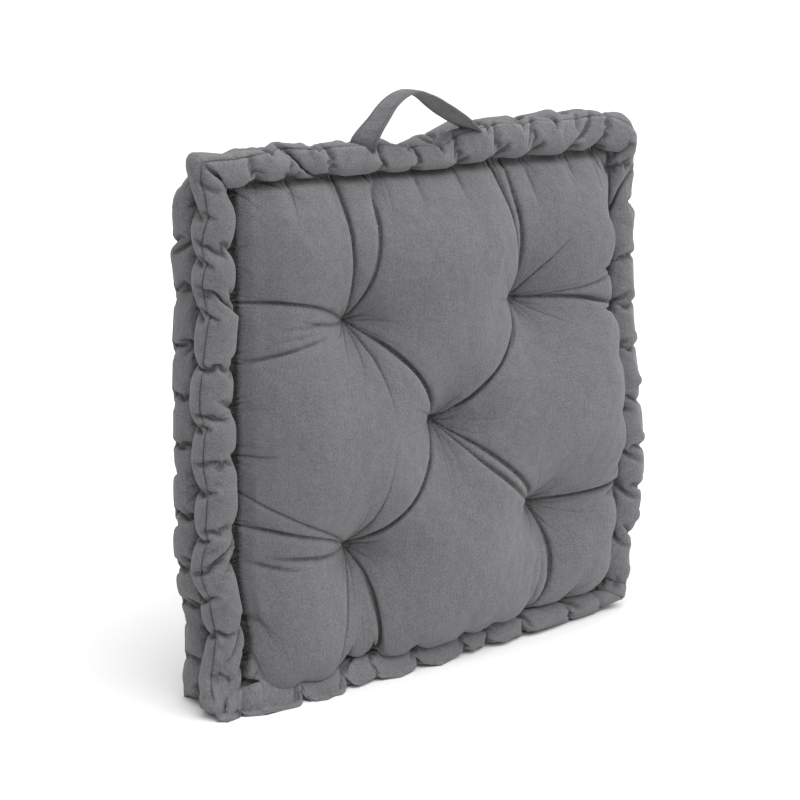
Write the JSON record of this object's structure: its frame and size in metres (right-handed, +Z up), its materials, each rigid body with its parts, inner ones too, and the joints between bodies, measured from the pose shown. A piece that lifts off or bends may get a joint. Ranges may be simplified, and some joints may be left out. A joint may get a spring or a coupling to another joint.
{
  "type": "floor cushion",
  "caption": "Square tufted floor cushion standing on its edge, with hand-rolled edges, a boxed side and a cloth carrying strap that swings at its seam.",
  "frame": {"origin": "centre of the bounding box in plan, on the floor under the standing cushion", "axes": "+Z up, +X along the cushion's width, -Y towards the front face; the carrying strap is at the top"},
  "size_m": [0.524, 0.108, 0.5387],
  "materials": {
    "cover_cloth": "matt brushed cloth with a short nap",
    "fibre_filling": "loose white fibre",
    "tuft_cord": "twisted cord"
  },
  "bodies": {
    "cushion": {"front_panel": "cover_cloth", "back_panel": "cover_cloth", "top_boxing": "cover_cloth", "bottom_boxing": "cover_cloth", "left_boxing": "cover_cloth", "right_boxing": "cover_cloth", "filling_core": "fibre_filling", "front_top_roll_filling": "fibre_filling", "back_top_roll_filling": "fibre_filling", "front_bottom_roll_filling": "fibre_filling", "back_bottom_roll_filling": "fibre_filling", "front_left_roll_filling": "fibre_filling", "back_left_roll_filling": "fibre_filling", "front_right_roll_filling": "fibre_filling", "back_right_roll_filling": "fibre_filling", "tuft_tie_upper_left": "tuft_cord", "tuft_tie_upper_right": "tuft_cord", "tuft_tie_centre": "tuft_cord", "tuft_tie_lower_left": "tuft_cord", "tuft_tie_lower_right": "tuft_cord", "strap_end_left": "cover_cloth", "strap_end_right": "cover_cloth"},
    "strap": {"strap_loop": "cover_cloth"}
  },
  "joints": [
    {"name": "strap_swing", "type": "hinge", "parent": "cushion", "child": "strap", "pos_m": [0, -0.02707, 0.49841], "axis": [1, 0, 0], "range_deg": [-62, 138]}
  ]
}
